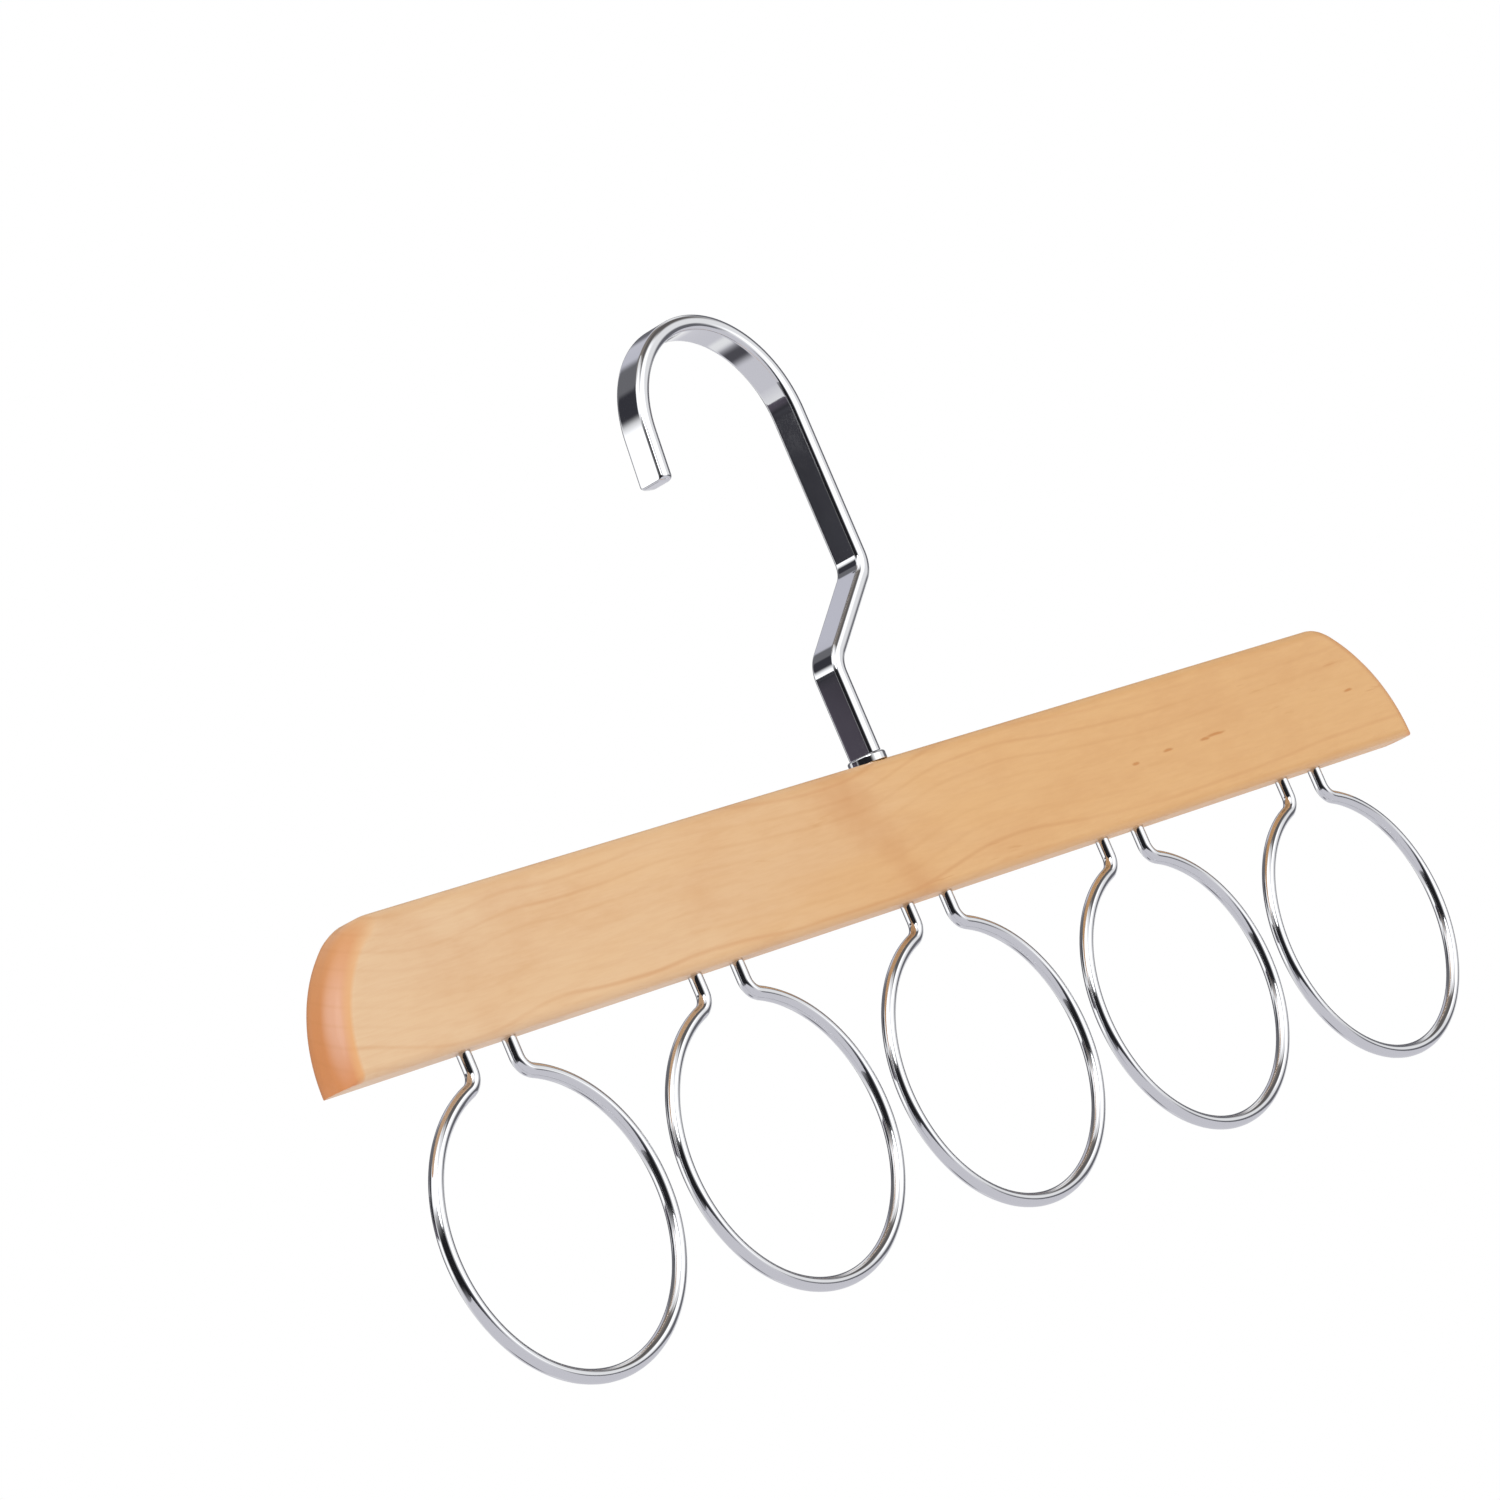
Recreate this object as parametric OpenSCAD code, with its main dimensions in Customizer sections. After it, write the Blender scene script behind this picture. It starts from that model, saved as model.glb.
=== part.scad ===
// Scarf hanger: a wooden crossbar with a swivelling flat hook and five open wire rings.
// Millimetres. X runs along the bar, Y through its thickness and Z up. The origin is the centre
// of the hook's inner arc, where a round rail lies, so the whole hanger hangs below it.

/* [Crossbar] */
// Length of the board
bar_l = 387; // [330:1:460]
// Height of the board
bar_h = 32.3; // [26:0.1:40]
// Thickness of the board
bar_t = 12; // [10:0.5:16]
// How much the radius of a rounded end exceeds the board's height
end_crown = 2; // [1:0.5:6]
// Radius that blends a rounded end into the top edge
shoulder_r = 11; // [6:1:16]
// Roundover of the top edges and of the ends
edge_r = 3; // [1:0.25:4]
// Roundover of the long lower edges
foot_r = 2; // [0.5:0.25:3]

/* [Rings] */
// Diameter of the ring wire
wire_d = 3.2; // [2.5:0.1:4]
// Clear inner diameter of a ring
ring_inner_d = 62; // [50:1:80]
// Clear gap between neighbouring rings
ring_gap = 5.6; // [3:0.2:20]
// Distance between the two legs of a ring, centre to centre
leg_pitch = 14; // [11:0.5:22]
// Straight length of a leg that shows under the board
leg_show = 4.2; // [3:0.1:12]
// Centreline radius of the bend from a leg into the ring
leg_bend_r = 4; // [3:0.25:7]
// Depth that a leg goes into the board
leg_depth = 13; // [8:0.5:16]
// Gap left between a leg's end and the bottom of its hole
leg_end_gap = 0.5; // [0.2:0.1:1.5]
// Glue gap around a leg in its hole
glue_gap = 0.05; // [0.02:0.01:0.15]

/* [Hook] */
// Height of the hook above the board's top edge
hook_h = 109.4; // [95:0.1:140]
// Width of the flat strip, across the hook
strip_w = 8; // [6:0.25:9]
// Thickness of the flat strip
strip_t = 3.8; // [2.6:0.1:4.4]
// Roundover of the strip's four edges
strip_edge_r = 1; // [0.3:0.1:1.2]
// Inner radius of the hook, where the rail lies
hook_inner_r = 23.6; // [18:0.1:32]
// Board's top edge up to the corner of the lower bend
stub_h = 24.5; // [20:0.5:40]
// Rise between the corners of the two bends
jog_rise = 19; // [14:0.5:30]
// Sideways step between the corners of the two bends
jog_step = 22.8; // [14:0.1:30]
// Centreline radius of the two bends
strip_bend_r = 7; // [4:0.5:9]
// Angle by which the free end opens outwards
flare_angle = 7; // [2:1:25]
// Straight length of the free end
tip_l = 12; // [8:0.5:20]
// Corner radius of the free end
tip_r = 1.2; // [0.6:0.1:2.9]

/* [Swivel] */
// Diameter of the hook's round shank, turned from the strip
shank_d = 3.2; // [2.4:0.1:3.4]
// Running gap around the shank
running_gap = 0.05; // [0.02:0.01:0.1]
// Gap between the strip's lower end and the ferrule
seat_gap = 0.2; // [0.1:0.05:0.5]
// Gap between the ferrule's lower end and the washer
thrust_gap = 0.1; // [0.05:0.05:0.3]
// Diameter of the ferrule's flange
flange_d = 9; // [8:0.25:11]
// Thickness of the ferrule's flange
flange_t = 2; // [1:0.25:3]
// Rounded edge of the flange
flange_edge_r = 0.5; // [0.2:0.1:0.8]
// Wall of the ferrule's barrel
barrel_wall = 1.2; // [0.8:0.1:1.5]
// Length of the ferrule's barrel inside the board
barrel_l = 14; // [8:0.5:16]
// Gap around the barrel in its hole
barrel_gap = 0.05; // [0.02:0.01:0.15]
// Thickness of the washer
washer_t = 0.8; // [0.5:0.1:1.2]
// Gap between the washer's edge and the hole
washer_rim_gap = 0.3; // [0.2:0.05:0.5]
// Height of the head formed on the shank's end
head_t = 1.4; // [1:0.1:2]
// Gap between the head's rim and the hole
head_rim_gap = 0.5; // [0.3:0.05:0.8]
// Room left below the head in its hole
head_room = 1; // [0.5:0.25:2]

/* [Hidden] */
$fn = 96;

wood_colour = "#E3B987";
chrome_colour = "#C9CCD0";
steel_colour = "#A9ABAE";

ring_count = 5;
cut = 1; // how far a cutter runs past the face it cuts
seam = 0.01; // a bend is this much thinner all round than the straight stretches that it joins
lap = 0.05; // and it reaches this far into them

function lap_angle(r) = lap / r * 180 / PI;

// Rings: circle of radius ring_r, two legs, and two bends that are tangent to both
ring_r = (ring_inner_d + wire_d) / 2;
ring_pitch = ring_inner_d + 2 * wire_d + ring_gap;
bend_x = leg_pitch / 2 + leg_bend_r;
bend_rise = sqrt(pow(ring_r + leg_bend_r, 2) - pow(bend_x, 2));
bend_angle = atan2(bend_rise, bend_x);

// Crossbar: each end is a large arc about a point of the lower edge, and a smaller one above it
end_r = bar_h + end_crown;
end_x = bar_l / 2 - end_r;
shoulder_z = bar_h - shoulder_r;
shoulder_dx = sqrt(pow(end_r - shoulder_r, 2) - pow(shoulder_z, 2));
shoulder_angle = atan2(shoulder_z, shoulder_dx);
shoulder_x = end_x + shoulder_dx;

// Hook: its path lies in the XZ plane, with the arc's centre at the origin
hook_r = hook_inner_r + strip_t / 2;
shank_x = hook_r - jog_step;
bar_top = hook_inner_r + strip_t - hook_h;
bar_bottom = bar_top - bar_h;
lower_corner = [shank_x, bar_top + stub_h];
upper_corner = lower_corner + [jog_step, jog_rise];
jog_angle = atan2(jog_step, jog_rise);
jog_dir = [sin(jog_angle), cos(jog_angle)];
bend_reach = strip_bend_r * tan(jog_angle / 2);

// Swivel: everything below the flange stands in one hole, from the top edge down
flange_top = bar_top + flange_t;
strip_foot = flange_top + seat_gap;
bore_d = shank_d + 2 * running_gap;
barrel_d = bore_d + 2 * barrel_wall;
hole_d = barrel_d + 2 * barrel_gap;
washer_top = bar_top - barrel_l - thrust_gap;
washer_d = hole_d - 2 * washer_rim_gap;
head_top = washer_top - washer_t;
head_d = hole_d - 2 * head_rim_gap;
head_bottom = head_top - head_t;
hole_depth = bar_top - head_bottom + head_room;

// A section swept about the Y axis through the point c of the XZ plane, from angle a0 to a1
module arc_sweep(c, r, a0, a1)
    translate([c[0], 0, c[1]]) rotate([90, 0, 0]) rotate([0, 0, a0])
        rotate_extrude(angle = a1 - a0) translate([r, 0]) children();

// A section swept straight from the point p to the point q of the XZ plane
module straight_sweep(p, q)
    translate([p[0], 0, p[1]]) rotate([0, 90 - atan2(q[1] - p[1], q[0] - p[0]), 0])
        linear_extrude(norm(q - p)) children();

// A rectangle centred on the origin, with rounded corners
module rounded_rect(w, h, r) {
    square([w - 2 * r, h], center = true);
    square([w, h - 2 * r], center = true);
    for (sx = [-1, 1], sy = [-1, 1])
        translate([sx * (w / 2 - r), sy * (h / 2 - r)]) circle(r);
}

// Section of the board from an end's centre out to the radius r, with rounded outer corners
module rim_section(r, t) {
    translate([0, -t / 2]) square([r - edge_r, t]);
    translate([0, -t / 2 + edge_r]) square([r, t - 2 * edge_r]);
    for (s = [-1, 1]) translate([r - edge_r, s * (t / 2 - edge_r)]) circle(edge_r);
}

// One end of the board: a large arc about a point of the lower edge, then the shoulder's arc
module bar_end() {
    a = lap_angle(shoulder_r);
    arc_sweep([end_x, 0], 0, 0, shoulder_angle) rim_section(end_r, bar_t);
    arc_sweep([shoulder_x, shoulder_z], 0, shoulder_angle - a, 90 + a)
        rim_section(shoulder_r - seam, bar_t - 2 * seam);
}

// The middle of the board, between the two shoulders, with its top edges rounded
module bar_middle()
    translate([-shoulder_x, 0, 0]) rotate([90, 0, 90]) linear_extrude(2 * shoulder_x) {
        translate([-bar_t / 2, 0]) square([bar_t, bar_h - edge_r]);
        translate([-bar_t / 2 + edge_r, 0]) square([bar_t - 2 * edge_r, bar_h]);
        for (s = [-1, 1]) translate([s * (bar_t / 2 - edge_r), bar_h - edge_r]) circle(edge_r);
    }

// A long block with the rounded lower edges, which trims the whole board
module foot_trim() {
    translate([-bar_l / 2 - cut, 0, 0]) rotate([90, 0, 90]) linear_extrude(bar_l + 2 * cut) {
        translate([-bar_t / 2, foot_r]) square([bar_t, bar_h + cut]);
        translate([-bar_t / 2 + foot_r, 0]) square([bar_t - 2 * foot_r, bar_h]);
        for (s = [-1, 1]) translate([s * (bar_t / 2 - foot_r), foot_r]) circle(foot_r);
    }
}

// Blind holes for the ring legs, from the lower edge up
module leg_holes() {
    for (i = [0 : ring_count - 1], s = [-1, 1])
        translate([ring_x(i) + s * leg_pitch / 2, 0, -cut])
            cylinder(d = wire_d + 2 * glue_gap, h = leg_depth + cut);
}

// Place of a ring's centre along the board, from the board's middle
function ring_x(i) = (i - (ring_count - 1) / 2) * ring_pitch;

// The wooden board, drilled for the swivel from above and for the rings from below
module crossbar() {
    color(wood_colour) translate([shank_x, 0, bar_bottom]) difference() {
        intersection() {
            union() {
                bar_middle();
                bar_end();
                mirror([1, 0, 0]) bar_end();
            }
            foot_trim();
        }
        leg_holes();
        translate([0, 0, bar_h - hole_depth]) cylinder(d = hole_d, h = hole_depth + cut);
    }
}

// Flanged insert that the hook's shank turns in
module hook_ferrule() {
    color(chrome_colour) translate([shank_x, 0, bar_top]) difference() {
        union() {
            translate([0, 0, -barrel_l]) cylinder(d = barrel_d, h = barrel_l + cut);
            cylinder(d = flange_d, h = flange_t - flange_edge_r);
            cylinder(d = flange_d - 2 * flange_edge_r, h = flange_t);
            translate([0, 0, flange_t - flange_edge_r])
                rotate_extrude() translate([flange_d / 2 - flange_edge_r, 0]) circle(flange_edge_r);
        }
        translate([0, 0, -barrel_l - cut]) cylinder(d = bore_d, h = barrel_l + flange_t + 2 * cut);
    }
}

// Thrust washer between the ferrule's lower end and the head of the shank
module swivel_washer() {
    color(steel_colour) translate([shank_x, 0, head_top]) difference() {
        cylinder(d = washer_d, h = washer_t);
        translate([0, 0, -cut]) cylinder(d = bore_d, h = washer_t + 2 * cut);
    }
}

// Section of the hook's strip, thinner by s all round: x across its thickness, y across its width
module strip_section(s = 0) rounded_rect(strip_t - 2 * s, strip_w - 2 * s, strip_edge_r);

// Free end of the strip: straight, with rounded corners
module hook_tip() {
    a = 180 - flare_angle;
    start = hook_r * [cos(a), sin(a)];
    dir = [-sin(a), cos(a)];
    intersection() {
        straight_sweep(start - lap * dir, start + tip_l * dir) strip_section(seam);
        translate([start[0], 0, start[1]]) rotate([0, 90 - atan2(dir[1], dir[0]), 0])
            rotate([0, 90, 0]) linear_extrude(2 * strip_t, center = true)
                translate([-tip_l / 2, 0]) tip_outline();
    }
}

// Outline of the free end: it runs on past the joint with the arc and is rounded where it ends
module tip_outline() {
    translate([tip_r / 2 + cut / 2, 0]) square([tip_l - tip_r + cut, strip_w], center = true);
    square([tip_l, strip_w - 2 * tip_r], center = true);
    for (s = [-1, 1]) translate([-tip_l / 2 + tip_r, s * (strip_w / 2 - tip_r)]) circle(tip_r);
}

// Round shank and the head formed on its lower end
module hook_shank() {
    translate([shank_x, 0, head_bottom]) {
        cylinder(d = shank_d, h = strip_foot - head_bottom + cut);
        intersection() {
            cylinder(d = head_d, h = head_t);
            dome_r = (pow(head_d / 2, 2) + pow(head_t, 2)) / (2 * head_t);
            translate([0, 0, dome_r]) sphere(dome_r);
        }
    }
}

// The hook: stub, jog, riser, arc and free end of one flat strip, on its round shank
module swivel_hook() {
    lower_in = lower_corner - [0, bend_reach];
    lower_out = lower_corner + bend_reach * jog_dir;
    upper_in = upper_corner - bend_reach * jog_dir;
    upper_out = upper_corner + [0, bend_reach];
    a = lap_angle(strip_bend_r);
    color(chrome_colour) union() {
        hook_shank();
        straight_sweep([shank_x, strip_foot], lower_in) strip_section();
        arc_sweep([lower_in[0] + strip_bend_r, lower_in[1]], strip_bend_r, 180 - jog_angle - a, 180 + a)
            strip_section(seam);
        straight_sweep(lower_out, upper_in) strip_section();
        arc_sweep([upper_out[0] - strip_bend_r, upper_out[1]], strip_bend_r, -jog_angle - a, a)
            strip_section(seam);
        straight_sweep(upper_out, [hook_r, 0]) strip_section();
        arc_sweep([0, 0], hook_r, 0, 180 - flare_angle) strip_section();
        hook_tip();
    }
}

// One ring of round wire: two legs, two bends and the open circle
module wire_ring(i) {
    a = lap_angle(leg_bend_r);
    color(chrome_colour) translate([shank_x + ring_x(i), 0, bar_bottom]) union() {
        for (s = [-1, 1]) translate([s * leg_pitch / 2, 0, -leg_show])
            cylinder(d = wire_d, h = leg_show + leg_depth - leg_end_gap);
        arc_sweep([bend_x, -leg_show], leg_bend_r, 180 - a, 180 + bend_angle + a)
            circle(d = wire_d - 2 * seam);
        arc_sweep([-bend_x, -leg_show], leg_bend_r, -bend_angle - a, a)
            circle(d = wire_d - 2 * seam);
        arc_sweep([0, -leg_show - bend_rise], ring_r, 180 - bend_angle, 360 + bend_angle)
            circle(d = wire_d);
    }
}

crossbar();
hook_ferrule();
swivel_hook();
swivel_washer();
wire_ring(0);  // ring_1
wire_ring(1);  // ring_2
wire_ring(2);  // ring_3
wire_ring(3);  // ring_4
wire_ring(4);  // ring_5
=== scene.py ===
import math
from functools import partial
import bmesh
import bpy
import numpy as np
from mathutils import Matrix, Vector


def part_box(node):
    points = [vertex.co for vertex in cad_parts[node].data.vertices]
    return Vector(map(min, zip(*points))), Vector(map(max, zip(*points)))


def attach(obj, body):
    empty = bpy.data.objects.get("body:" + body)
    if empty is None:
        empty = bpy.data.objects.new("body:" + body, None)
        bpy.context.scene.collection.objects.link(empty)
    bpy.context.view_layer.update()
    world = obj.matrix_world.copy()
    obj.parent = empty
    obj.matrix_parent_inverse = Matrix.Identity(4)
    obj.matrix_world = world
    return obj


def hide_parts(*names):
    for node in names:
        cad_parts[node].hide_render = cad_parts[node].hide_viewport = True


# A maple scarf hanger with a chromed swivel hook and five chromed wire rings.
# Sizes are in millimetres, and a mesh becomes metres when it is made.

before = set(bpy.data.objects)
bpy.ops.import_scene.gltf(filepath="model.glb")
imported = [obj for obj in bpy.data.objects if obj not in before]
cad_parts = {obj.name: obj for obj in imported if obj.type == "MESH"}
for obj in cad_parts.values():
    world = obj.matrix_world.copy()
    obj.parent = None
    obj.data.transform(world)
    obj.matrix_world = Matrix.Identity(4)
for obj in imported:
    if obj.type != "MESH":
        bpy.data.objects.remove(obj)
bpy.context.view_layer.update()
boardLow, boardHigh = (np.array(corner) * 1000 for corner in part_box("crossbar"))
middleX = (boardLow[0] + boardHigh[0]) / 2  # the board's middle, which is the shank's axis too
boardFoot, boardTop = boardLow[2], boardHigh[2]
print("frame loaded, board", np.round(boardHigh - boardLow, 2), "mm")


# Helpers for meshes

def gridFaces(rows, columns, closed):
    # Quads between neighbouring rows and columns of points that are numbered row by row
    r, c = np.meshgrid(np.arange(rows - 1), np.arange(columns - (not closed)), indexing="ij")
    across = (c + 1) % columns
    corners = [r * columns + c, r * columns + across, (r + 1) * columns + across, (r + 1) * columns + c]
    return np.stack(corners, -1).reshape(-1, 4)


def gridPart(points, closed=False, marks=None, keep=None):
    # One surface: its points, its quads, and its marks, which are named numbers at each point
    rows, columns = points.shape[:2]
    faces = gridFaces(rows, columns, closed)
    if keep is not None:
        faces = faces[keep.reshape(-1)]
    flatMarks = {name: np.broadcast_to(value, (rows, columns)).reshape(-1)
                 for name, value in (marks or {}).items()}
    return points.reshape(-1, 3), faces, flatMarks


def makePiece(name, parts, material, body, node, sharpAngle=35):
    # The parts become one closed mesh: equal points are merged and the faces are turned outwards
    starts = np.cumsum([0] + [len(points) for points, _, _ in parts])
    points = np.concatenate([part[0] for part in parts]) / 1000
    faces = np.concatenate([part[1] + start for part, start in zip(parts, starts)])
    mesh = bpy.data.meshes.new(name)
    mesh.from_pydata(points.tolist(), [], faces.tolist())
    for mark in sorted({mark for part in parts for mark in part[2]}):
        values = np.concatenate([part[2].get(mark, np.zeros(len(part[0]))) for part in parts])
        mesh.attributes.new(mark, "FLOAT", "POINT").data.foreach_set("value", values.astype(np.float32))
    shell = bmesh.new()
    shell.from_mesh(mesh)
    bmesh.ops.remove_doubles(shell, verts=shell.verts, dist=2e-6)
    bmesh.ops.dissolve_degenerate(shell, edges=shell.edges, dist=1e-7)
    bmesh.ops.recalc_face_normals(shell, faces=shell.faces)
    openEdges = sum(not edge.is_manifold for edge in shell.edges)
    shell.to_mesh(mesh)
    shell.free()
    mesh.shade_smooth()
    mesh.set_sharp_from_angle(angle=math.radians(sharpAngle))
    mesh.materials.append(material)
    piece = bpy.data.objects.new(name, mesh)
    bpy.context.scene.collection.objects.link(piece)
    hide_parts(node)
    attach(piece, body)
    print(name, len(mesh.polygons), "faces,", openEdges, "open edges")


def tracePath(start, heading, moves):
    # A path in the XZ plane, drawn by moves of a length, a turn and a count of steps: straight where
    # the turn is 0, otherwise an arc whose radius is its length over its turn. Gives the points,
    # the headings and the length run so far.
    place, angle, run = np.array(start, float), math.radians(heading), 0.0
    points, angles, runs = [place[None]], [np.array([angle])], [np.array([0.0])]
    for length, degrees, steps in moves:
        share, turn = np.arange(1, steps + 1) / steps, math.radians(degrees)
        if turn == 0:
            new = place + length * share[:, None] * np.array([math.cos(angle), math.sin(angle)])
        else:
            turned = angle + turn * share
            new = place + length / turn * np.stack([np.sin(turned) - math.sin(angle),
                                                    math.cos(angle) - np.cos(turned)], 1)
        points.append(new)
        angles.append(angle + turn * share)
        runs.append(run + length * share)
        place, angle, run = new[-1], angle + turn, run + length
    return np.concatenate(points), np.concatenate(angles), np.concatenate(runs)


def sweep(points, angles, across, along):
    # Each path point plus the section's first number times the path's left normal, and its second
    # number along Y. The section may change from one path point to the next.
    x = points[:, :1] - np.sin(angles)[:, None] * across
    z = points[:, 1:] + np.cos(angles)[:, None] * across
    return np.stack([x, along + 0 * x, z], -1)


def revolve(profile, centre, segments):
    # Each profile point, a radius and a height, turned about a vertical axis through the centre
    turn = np.arange(segments) / segments * 2 * math.pi
    radius, height = profile[:, :1], profile[:, 1:]
    return np.stack([centre[0] + radius * np.cos(turn), centre[1] + radius * np.sin(turn),
                     centre[2] + height + 0 * turn], -1)


def cornerArc(centre, radius, fromAngle, toAngle, steps):
    # Points of a circle's arc, as the rounded corner of a profile
    a = np.radians(np.linspace(fromAngle, toAngle, steps + 1))
    return np.array(centre) + radius * np.stack([np.cos(a), np.sin(a)], 1)


def midpoints(values):
    return (values[1:] + values[:-1]) / 2


# Helpers for materials

soft = {"interpolation_type": "SMOOTHSTEP"}  # for a MapRange node whose change starts and ends gently


def linearColour(hexText):  # sRGB hex text to linear red, green, blue and alpha
    srgb = np.array([int(hexText[i:i + 2], 16) for i in (1, 3, 5)]) / 255
    linear = np.where(srgb <= 0.04045, srgb / 12.92, ((srgb + 0.055) / 1.055) ** 2.4)
    return (*linear.tolist(), 1.0)


def addNode(tree, kind, inputs=None, **settings):  # a node with its settings, input values and links
    node = tree.nodes.new("ShaderNode" + kind)
    for name, value in settings.items():
        setattr(node, name, value)
    for key, value in (inputs or {}).items():
        if isinstance(value, bpy.types.Node):
            value = next(socket for socket in value.outputs if socket.enabled)
        if isinstance(value, bpy.types.NodeSocket):
            tree.links.new(value, node.inputs[key])
        else:
            node.inputs[key].default_value = value
    return node


def newMaterial(name):
    material = bpy.data.materials.new(name)
    material.use_nodes = True
    material.node_tree.nodes.clear()
    return material, material.node_tree


# Wood: flat-sawn maple, planed and sanded, under a clear satin lacquer. The lacquer soaks into the
# end grain and the rounded edges, which turn orange, and leaves a soft shine with the grain showing.
woodLook = {
    "pale": "#EEC99D", "deep": "#EBB97C", "line": "#CF884B", "fleck": "#D08A45", "curl": "#D5965C",
    # End colours: orange end grain, and a paler pink that is a painted highlight on the end's rounding
    "endGrain": "#E1945B", "endHighlight": "#E9AF8E", "edge": "#ECA968",
    "yearWidth": 3.5,  # one year's growth
    "pithY": 52, "pithZ": -64,  # the log's centre, off the board, so the years cross it as flat arcs
    "highlightShift": 4.4, "highlightHeight": 14,  # the painted highlight's place on the end, from the middle and the foot
    "wander": 5,  # how far a year's line wanders on its way along the board
    # Curls, where the fibres bend: place along the board at its foot, lean, half width, strength,
    # and how far the year lines dip there
    "curls": [(-7, 0.3, 17, 0.4, 2.5), (-38, 0.1, 44, 0.14, 0), (-62, 0.1, 12, 0.14, -1.5),
              (-155, 0.2, 14, 0.16, 5)],
    "dipReach": 36,  # half width of a dip
    "lineStrength": 0.46, "fibreStrength": 0.1, "fleckStrength": 0.4,
    # Mineral streaks in the front face: place along the board, height above its foot, half length
    "streaks": [(85.4, 13.7, 1.6), (98.9, 14.4, 2.2), (114, 14.3, 2.2), (118.6, 14.6, 4.4), (175.8, 15, 2)],
    "streakStrength": 0.85, "streakHeight": 0.42, "streakDepth": 1.5,
    # Noises: patterns per metre along X, Y and Z, detail, roughness, and a shift that sets them apart
    "noises": {
        "wobble": ((30, 60, 55), 3, 0.55, 7),  # the curls' edges
        "wander": ((7.5, 9, 10), 2, 0.4, 0),
        "lineFade": ((11, 45, 45), 2, 0.5, 3),
        "mottle": ((10, 45, 52), 4, 0.6, 1.7),
        "cloud": ((35, 90, 90), 4, 0.65, 4),
        "curlGrain": ((60, 90, 60), 2, 0.6, 6),
        "fleck": ((85, 900, 900), 2, 0.6, 5),
        "fleckPlace": ((16, 60, 60), 1, 0.5, 8),
        "bend": ((150, 200, 200), 2, 0.6, 0),  # the streaks' own waviness
        "fibre": ((110, 1100, 1100), 3, 0.65, 11),
        # wobble of the painted highlight's edge on the ends
        "highlightSpot": ((30, 90, 60), 2, 0.5, 0),
        "fine": ((120, 1400, 1400), 3, 0.6, 2),
        "skin": ((60, 160, 160), 2, 0.5, 0),
    },
    "roughness": 0.5, "endRoughness": 0.75, "lacquer": 0.3, "lacquerRoughness": 0.22, "grainDepth": 0.05,
}


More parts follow.
